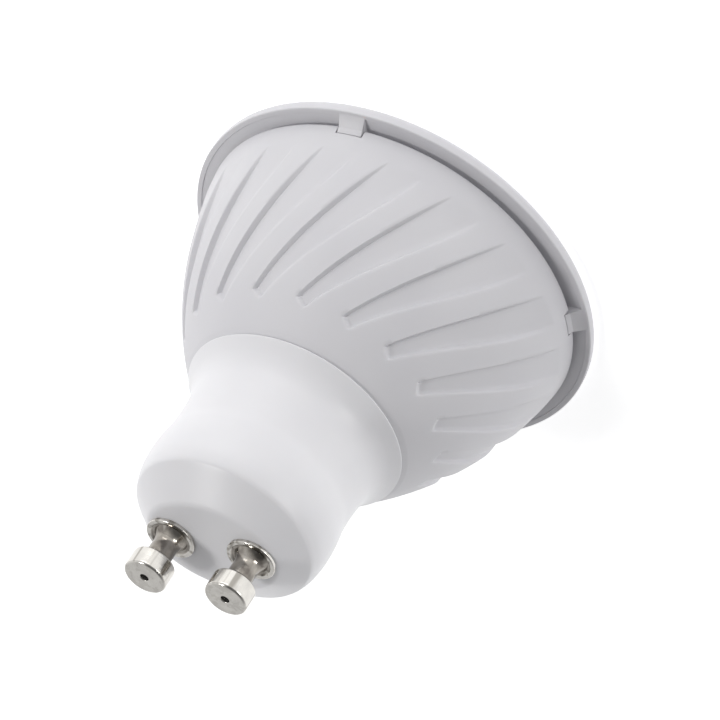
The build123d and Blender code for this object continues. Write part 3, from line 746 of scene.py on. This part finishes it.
# the dark pair of colours is painted shade for the pins' neck, trumpet and dish
nickelLooks = {
    "brightA": (0.6, 0.58, 0.55), "brightB": (0.72, 0.7, 0.66), "paintedShadeA": (0.16, 0.145, 0.13),
    "paintedShadeB": (0.42, 0.39, 0.35), "cloudScale": 700, "roughLow": 0.1, "roughHigh": 0.2,
    # the streak colour, scale, detail, stretch and range give painted dark reflection bands, long along the
    # pin; the head's end face is kept mostly free of them
    "reflectionBandColor": (0.36, 0.34, 0.31), "reflectionBandScale": 1100, "reflectionBandDetail": 1.0, "reflectionBandStretch": (1, 1, 0.06),
    "reflectionBandRange": (0.36, 0.5), "endRange": (-0.2, -0.05), "endUnbanded": 0.8, "headRange": (-0.1, 0.2),
    "rimFade": 0.15,
    "turnedScale": 900, "turnedStretch": (0.15, 0.15, 6.0), "turnedStrength": 0.35, "turnedDepth": 0.012,
}


def nickelMaterial():
    # bright plating on the heads and flange rims; painted shade in the neck, the trumpet and the dish, a dark
    # colour that stands for the shade and dark reflections in these hollows
    looks = nickelLooks
    material, tree, shader, coords = startMaterial("nickelPlate")
    toAxis = coords
    for operation, value in (("ABSOLUTE", None), ("SUBTRACT", (pinX * mm, 0, 0)), ("MULTIPLY", (1, 1, 0)),
                             ("LENGTH", None)):
        node = tree.nodes.new("ShaderNodeVectorMath")
        node.operation = operation
        tree.links.new(toAxis, node.inputs[0])
        if value:
            node.inputs[1].default_value = value
        toAxis = node.outputs["Value" if operation == "LENGTH" else "Vector"]
    dishEdge = pin["flangeR"] - pin["rimW"]
    onRim = rangeNode(tree, toAxis, 0, 1, (dishEdge - looks["rimFade"]) * mm, dishEdge * mm)
    split = tree.nodes.new("ShaderNodeSeparateXYZ")
    tree.links.new(coords, split.inputs[0])

    def heightMask(z, span, most):
        # rises from 0 to most over the span, given from the height z
        return rangeNode(tree, split.outputs["Z"], 0, most, (z + span[0]) * mm, (z + span[1]) * mm)

    onHead = heightMask(pinHigh.z - pin["headH"], looks["headRange"], 1)
    onEnd = heightMask(pinHigh.z, looks["endRange"], looks["endUnbanded"])
    turned = noiseNode(tree, coords, looks["turnedScale"], stretch=looks["turnedStretch"])
    cloud = noiseNode(tree, coords, looks["cloudScale"])
    spread = rangeNode(tree, cloud, 0, 1)
    bright = mixColor(tree, spread, looks["brightA"], looks["brightB"])
    # painted shade: dark colour in the neck, trumpet and dish, away from the heads and flange rims
    paintedShade = mixColor(tree, spread, looks["paintedShadeA"], looks["paintedShadeB"])
    plateWithShade = mixColor(tree, mathNode(tree, "MAXIMUM", onRim, onHead), paintedShade, bright)
    # painted reflection: dark streaks long along the pin, kept mostly off the head's end face
    reflectionBands = noiseNode(tree, coords, looks["reflectionBandScale"], looks["reflectionBandDetail"], looks["reflectionBandStretch"])
    unbanded = mathNode(tree, "MAXIMUM", rangeNode(tree, reflectionBands, 0, 1, *looks["reflectionBandRange"]), onEnd)
    tree.links.new(mixColor(tree, unbanded, looks["reflectionBandColor"], plateWithShade), shader.inputs["Base Color"])
    tree.links.new(rangeNode(tree, cloud, looks["roughLow"], looks["roughHigh"]), shader.inputs["Roughness"])
    grooves = bumpNode(tree, turned, looks["turnedStrength"], looks["turnedDepth"])
    tree.links.new(grooves, shader.inputs["Normal"])
    shader.inputs["Metallic"].default_value = 1.0
    return material


nickel = nickelMaterial()
makePin("leftContactPin", "contact_pin_left", -pinX)
makePin("rightContactPin", "contact_pin_right", pinX)
print("contact pins done")


# clear cover
cover = {
    "edgeRound": 0.3, "edgeSteps": 5, "segments": 192, "ior": 1.49,
    "tintA": (0.95, 0.97, 0.98), "tintB": (0.98, 0.99, 1.0), "roughLow": 0.01, "roughHigh": 0.05,
    "hazeScale": 120, "hazeDetail": 2.0, "hazeStrength": 0.1, "hazeDepth": 0.02,
}


def coverMaterial():
    material, tree, shader, coords = startMaterial("clearCover")
    haze = noiseNode(tree, coords, cover["hazeScale"], cover["hazeDetail"])
    tree.links.new(rangeNode(tree, haze, cover["roughLow"], cover["roughHigh"]), shader.inputs["Roughness"])
    tree.links.new(bumpNode(tree, haze, cover["hazeStrength"], cover["hazeDepth"]), shader.inputs["Normal"])
    tree.links.new(mixColor(tree, haze, cover["tintA"], cover["tintB"]), shader.inputs["Base Color"])
    shader.inputs["Transmission Weight"].default_value = 1.0
    shader.inputs["IOR"].default_value = cover["ior"]
    return material


def makeCover():
    rim = cover["edgeRound"]
    radius = lensHigh.x
    loop = roundedLoop([(axisR, lensLow.z, 0), (radius, lensLow.z, rim), (radius, lensHigh.z, rim),
                        (axisR, lensHigh.z, 0)], cover["edgeSteps"])
    bm = bmesh.new()
    spinLoop(bm, loop, cover["segments"])
    return finishPiece("clearFrontCover", bm, coverMaterial(), ["front_lens"], sharpDeg=35)


makeCover()
print("clear cover done")


# finishes of the inner pieces, which keep their solids, each with the pieces that carry it
innerLooks = {
    "aluminium": ({"colorA": (0.62, 0.63, 0.64), "colorB": (0.72, 0.73, 0.74), "cloudScale": 150,
                   "grainScale": 1800, "stretch": (1, 1, 0.1), "roughness": 0.36, "roughSpread": 0.08,
                   "waveDepth": 0.05, "grainStrength": 0.25, "metallic": 1.0}, ["heat_sink"]),
    "padSilicone": ({"colorA": (0.42, 0.45, 0.48), "colorB": (0.5, 0.52, 0.55), "cloudScale": 300,
                     "roughness": 0.75, "waveStrength": 0.3, "waveDepth": 0.05, "grainStrength": 0.3,
                     "grainDepth": 0.02}, ["thermal_pad"]),
    "screwZinc": ({"colorA": (0.6, 0.6, 0.58), "colorB": (0.74, 0.73, 0.7), "cloudScale": 800,
                   "grainScale": 5000, "roughness": 0.28, "roughSpread": 0.1, "grainStrength": 0.25,
                   "metallic": 1.0}, ["board_screws"]),
    "boardGreen": ({"colorA": (0.02, 0.16, 0.06), "colorB": (0.03, 0.22, 0.09), "cloudScale": 400,
                    "grainScale": 2500, "roughness": 0.35, "waveStrength": 0.3, "waveDepth": 0.03,
                    "coat": 0.3}, ["driver_board"]),
    "canSleeve": ({"colorA": (0.012, 0.012, 0.016), "colorB": (0.03, 0.03, 0.035), "cloudScale": 300,
                   "grainScale": 2500, "roughness": 0.3, "waveStrength": 0.3, "waveDepth": 0.03,
                   "grainStrength": 0.15}, ["storage_capacitor"]),
    "filmResin": ({"colorA": (0.4, 0.06, 0.03), "colorB": (0.5, 0.09, 0.05), "cloudScale": 300,
                   "grainScale": 2500, "roughness": 0.25, "roughSpread": 0.05, "waveStrength": 0.3,
                   "waveDepth": 0.04, "grainStrength": 0.12, "coat": 0.3}, ["film_capacitor"]),
    "chipEpoxy": ({"colorA": (0.014, 0.014, 0.015), "colorB": (0.03, 0.03, 0.032), "grainScale": 6000,
                   "roughness": 0.6, "roughSpread": 0.08, "grainStrength": 0.4, "grainDepth": 0.012},
                  ["bridge_rectifier", "driver_chip"]),
    "ferrite": ({"colorA": (0.05, 0.045, 0.04), "colorB": (0.09, 0.08, 0.07), "stretch": (1, 4, 1),
                 "roughness": 0.55, "roughSpread": 0.1, "waveDepth": 0.03, "grainStrength": 0.5,
                 "grainDepth": 0.03}, ["choke"]),
    "fuseLacquer": ({"colorA": (0.16, 0.36, 0.46), "colorB": (0.2, 0.44, 0.55), "cloudScale": 600,
                     "roughness": 0.4, "waveStrength": 0.3, "waveDepth": 0.03}, ["fuse_resistor"]),
    "leadBlack": ({"colorA": (0.012, 0.012, 0.013), "colorB": (0.025, 0.025, 0.027),
                   "roughness": 0.45, "roughSpread": 0.08},
                  ["mains_lead_left", "mains_lead_right", "led_lead_black"]),
    "leadRed": ({"colorA": (0.42, 0.02, 0.015), "colorB": (0.55, 0.035, 0.025),
                 "roughness": 0.42, "roughSpread": 0.08}, ["led_lead_red"]),
    "solder": ({"colorA": (0.62, 0.62, 0.63), "colorB": (0.78, 0.78, 0.78), "cloudScale": 900,
                "grainScale": 4000, "roughness": 0.22, "roughSpread": 0.1, "waveStrength": 0.5,
                "waveDepth": 0.04, "metallic": 1.0}, ["solder_joints"]),
    "solderMask": ({"colorA": (0.8, 0.8, 0.77), "colorB": (0.86, 0.86, 0.83), "cloudScale": 200,
                    "grainScale": 2500, "roughness": 0.4, "grainStrength": 0.15, "coat": 0.2},
                   ["led_board"]),
}


def dress(nodeName, material):
    mesh = nodes[nodeName].data
    mesh.materials.clear()
    mesh.materials.append(material)


for looksName, (looks, dressed) in innerLooks.items():
    finish = grainMaterial(looksName, looks)
    for nodeName in dressed:
        dress(nodeName, finish)
print("inner pieces dressed")


# LED packages: white frame, yellow window, silver tabs
package = {
    "count": 8, "w": 2.8, "l": 3.5, "corner": 0.35, "edge": 0.08, "edgeShare": 0.3, "backIn": 0.5,
    "windowR": 1.05, "windowRim": 0.12, "windowStep": 0.04, "windowLean": 0.05, "windowDepth": 0.15,
    "dome": 0.06, "domeRows": 5, "tabW": 1.9, "tabL": 0.35, "tabT": 0.18, "windowSteps": 40,
}
packageWhite = grainMaterial("packageWhite", {
    "colorA": (0.8, 0.8, 0.77), "colorB": (0.86, 0.86, 0.84), "grainScale": 5000, "roughness": 0.45,
    "waveStrength": 0.1, "waveDepth": 0.01, "grainDepth": 0.008,
})
phosphor = grainMaterial("phosphorYellow", {
    "colorA": (0.78, 0.5, 0.06), "colorB": (0.86, 0.6, 0.1), "cloudScale": 900, "grainScale": 6000,
    "roughness": 0.3, "waveDepth": 0.01, "grainStrength": 0.3, "coat": 0.5,
    "subsurface": 0.3, "subsurfaceMm": 0.3,
})
tabSilver = grainMaterial("tabSilver", {
    "colorA": (0.7, 0.7, 0.68), "colorB": (0.8, 0.8, 0.78), "cloudScale": 900, "grainScale": 5000,
    "roughness": 0.25, "roughSpread": 0.08, "waveDepth": 0.01, "grainDepth": 0.008, "metallic": 1.0,
})


def makePackage(index):
    node = f"led_{index + 1}"
    low, high = boxMm(node)
    middle = (low + high) / 2
    turn = math.atan2(middle.y, middle.x)
    place = Matrix.Translation(Vector((middle.x, middle.y, 0)) * mm) @ Matrix.Rotation(turn, 4, "Z")
    face, back = low.z, high.z
    bm = bmesh.new()
    count = package["windowSteps"]
    turns = [2 * math.pi * (i + 0.5) / count for i in range(count)]

    def frameRow(inset, z):
        # rounded rectangle with as many points as the window has
        hx, hy, c = package["w"] / 2 - inset, package["l"] / 2 - inset, package["corner"]
        row = []
        for a in turns:
            dx, dy = math.cos(a), math.sin(a)
            reach = min(hx / max(abs(dx), 1e-6), hy / max(abs(dy), 1e-6))
            x, y = dx * reach, dy * reach
            cx, cy = hx - c, hy - c
            if abs(x) > cx and abs(y) > cy:
                vx, vy = abs(x) - cx, abs(y) - cy
                scale = c / max(math.hypot(vx, vy), 1e-6)
                x = math.copysign(cx + vx * scale, x)
                y = math.copysign(cy + vy * scale, y)
            row.append((x, y, z))
        return row

    def circleRow(r, z):
        return [(r * math.cos(a), r * math.sin(a), z) for a in turns]

    edge = package["edge"]
    eased = edge * package["edgeShare"]
    windowR = package["windowR"]
    lowR = windowR - package["windowLean"]
    lowZ = face + package["windowDepth"]
    rows = [
        frameRow(package["backIn"], back), frameRow(0, back), frameRow(0, face + edge),
        frameRow(eased, face + eased), frameRow(edge, face), circleRow(windowR + package["windowRim"], face),
        circleRow(windowR, face + package["windowStep"]), circleRow(lowR, lowZ),
    ]
    body = gridFaces(bm, rows)
    bm.faces.new(body[0])
    windowRows = []
    for k in range(1, package["domeRows"]):
        share = 1 - k / package["domeRows"]
        windowRows.append(circleRow(lowR * share, lowZ - package["dome"] * (1 - share ** 2)))
    window = [body[-1]] + [[bm.verts.new(Vector(p) * mm) for p in r] for r in windowRows]
    for a, b in zip(window, window[1:]):
        for i in range(count):
            k = (i + 1) % count
            bm.faces.new((a[i], a[k], b[k], b[i])).material_index = 1
    bm.faces.new(window[-1]).material_index = 1
    bodyFaces = set(bm.faces)
    for side in (-1, 1):
        y0 = side * (package["l"] / 2 - package["tabL"])
        y1 = side * (package["l"] / 2)
        x = package["tabW"] / 2
        z0, z1 = back - package["tabT"], back
        corners = [(-x, y0), (x, y0), (x, y1), (-x, y1)]
        lowRow = [bm.verts.new(Vector((cx, cy, z0)) * mm) for cx, cy in corners]
        highRow = [bm.verts.new(Vector((cx, cy, z1)) * mm) for cx, cy in corners]
        bm.faces.new(lowRow)
        bm.faces.new(highRow[::-1])
        for i in range(4):
            k = (i + 1) % 4
            bm.faces.new((lowRow[i], highRow[i], highRow[k], lowRow[k]))
    for f in bm.faces:
        if f not in bodyFaces:
            f.material_index = 2
    bmesh.ops.transform(bm, matrix=place, verts=bm.verts)
    piece = finishPiece(f"ledPackage{index + 1}", bm, packageWhite, [node], sharpDeg=35)
    piece.data.materials.append(phosphor)
    piece.data.materials.append(tabSilver)
    return piece


for ledIndex in range(package["count"]):
    makePackage(ledIndex)
print("LED packages done")


# floor, light and camera; floor and lights are in metres, except for floorDrop, and the lobes' edge
# and core are cosines between which the surround fades from most to least
studio = {
    "floorSize": 6.0, "floorDrop": 0.02, "floorColor": (0.93, 0.935, 0.94), "floorShade": 0.99,
    "floorFibre": 400, "floorRoughness": 0.9, "floorGlow": 0.55,
    "darkLobes": [
        {"towards": (-0.478, -0.24, 0.845), "edge": 0.3, "core": 0.85, "most": 0.92, "least": 0.18},
        {"towards": (0.43, 0.69, 0.58), "edge": 0.75, "core": 0.93, "most": 1.0, "least": 0.75},
        {"towards": (-0.62, 0.72, 0.3), "edge": 0.4, "core": 0.9, "most": 1.0, "least": 0.93},
    ],
    "lights": {
        "lowLight": {"away": (0.15, -0.97, -0.15), "distance": 0.12, "size": (0.09, 0.012), "power": 0.01},
        "fillLight": {"away": (-0.93, -0.3, 0.04), "distance": 0.9, "size": (0.4, 0.06), "power": 1.25},
        "topLight": {"away": (0.36, -0.32, 0.87), "distance": 0.9, "size": (0.16, 0.16), "power": 2.2},
    },
    "lightColor": (1.0, 0.99, 0.97),
}
# angles in degrees, distance and aim in millimetres from the model's origin
view = {
    "tilt": 54.66, "turn": 237.898, "roll": 33.177, "distance": 400.0, "lens": 180.95,
    "aimZ": 24.0, "aimAcross": 6.335, "aimUp": 5.426, "sensor": 36, "clipStart": 0.01,
}


def makeFloor():
    half = studio["floorSize"] / 2
    # a hair under the ring, so that the two faces don't lie in one plane
    low = -studio["floorDrop"] * mm
    bm = bmesh.new()
    corners = ((-half, -half), (half, -half), (half, half), (-half, half))
    bm.faces.new([bm.verts.new((x, y, low)) for x, y in corners])
    mesh = bpy.data.meshes.new("studioFloor")
    bm.to_mesh(mesh)
    bm.free()
    floor = bpy.data.objects.new("studioFloor", mesh)
    bpy.context.scene.collection.objects.link(floor)
    material, tree, shader, coords = startMaterial("floorPaper")
    fibre = noiseNode(tree, coords, studio["floorFibre"])
    color = studio["floorColor"]
    shaded = tuple(c * studio["floorShade"] for c in color)
    tree.links.new(mixColor(tree, fibre, shaded, color), shader.inputs["Base Color"])
    shader.inputs["Roughness"].default_value = studio["floorRoughness"]
    shader.inputs["Emission Color"].default_value = (1, 1, 1, 1)
    shader.inputs["Emission Strength"].default_value = studio["floorGlow"]
    mesh.materials.append(material)


def makeWorld():
    # bright all round, darker above, behind and to one side, as in an open light tent
    world = bpy.data.worlds.new("studioWorld")
    bpy.context.scene.world = world
    world.use_nodes = True
    tree = world.node_tree
    background = tree.nodes["Background"]
    coords = tree.nodes.new("ShaderNodeTexCoord").outputs["Generated"]
    strength = None
    for lobe in studio["darkLobes"]:
        dot = tree.nodes.new("ShaderNodeVectorMath")
        dot.operation = "DOT_PRODUCT"
        dot.inputs[1].default_value = Vector(lobe["towards"]).normalized()
        tree.links.new(coords, dot.inputs[0])
        share = rangeNode(tree, dot.outputs["Value"], lobe["most"], lobe["least"], lobe["edge"], lobe["core"])
        strength = mathNode(tree, "MULTIPLY", strength, share) if strength else share
    tree.links.new(strength, background.inputs["Strength"])
    background.inputs["Color"].default_value = (1, 1, 1, 1)


def makeLights():
    aim = Vector((0, 0, view["aimZ"])) * mm
    for name, looks in studio["lights"].items():
        lamp = bpy.data.lights.new(name, "AREA")
        lamp.shape = "RECTANGLE"
        lamp.size, lamp.size_y = looks["size"]
        lamp.energy = looks["power"]
        lamp.color = studio["lightColor"]
        light = bpy.data.objects.new(name, lamp)
        away = Vector(looks["away"]).normalized()
        light.location = aim + away * looks["distance"]
        light.rotation_euler = away.to_track_quat("Z", "Y").to_euler()
        light.visible_camera = False
        bpy.context.scene.collection.objects.link(light)


def makeCamera():
    tilt, turn, roll = (math.radians(view[k]) for k in ("tilt", "turn", "roll"))
    back = Vector((math.sin(tilt) * math.cos(turn), math.sin(tilt) * math.sin(turn), math.cos(tilt)))
    level = Vector((-math.sin(turn), math.cos(turn), 0))
    rise = back.cross(level)
    right = -math.cos(roll) * level - math.sin(roll) * rise
    up = back.cross(right)
    aim = Vector((0, 0, view["aimZ"])) + view["aimAcross"] * right + view["aimUp"] * up
    place = (aim + view["distance"] * back) * mm
    camera = bpy.data.objects.new("photoCamera", bpy.data.cameras.new("photoCamera"))
    camera.data.lens = view["lens"]
    camera.data.sensor_width = view["sensor"]
    camera.data.clip_start = view["clipStart"]
    camera.matrix_world = Matrix.Translation(place) @ Matrix((right, up, back)).transposed().to_4x4()
    bpy.context.scene.collection.objects.link(camera)
    bpy.context.scene.camera = camera


makeFloor()
makeWorld()
makeLights()
makeCamera()
bpy.context.scene.view_settings.view_transform = "Standard"
print("studio done")
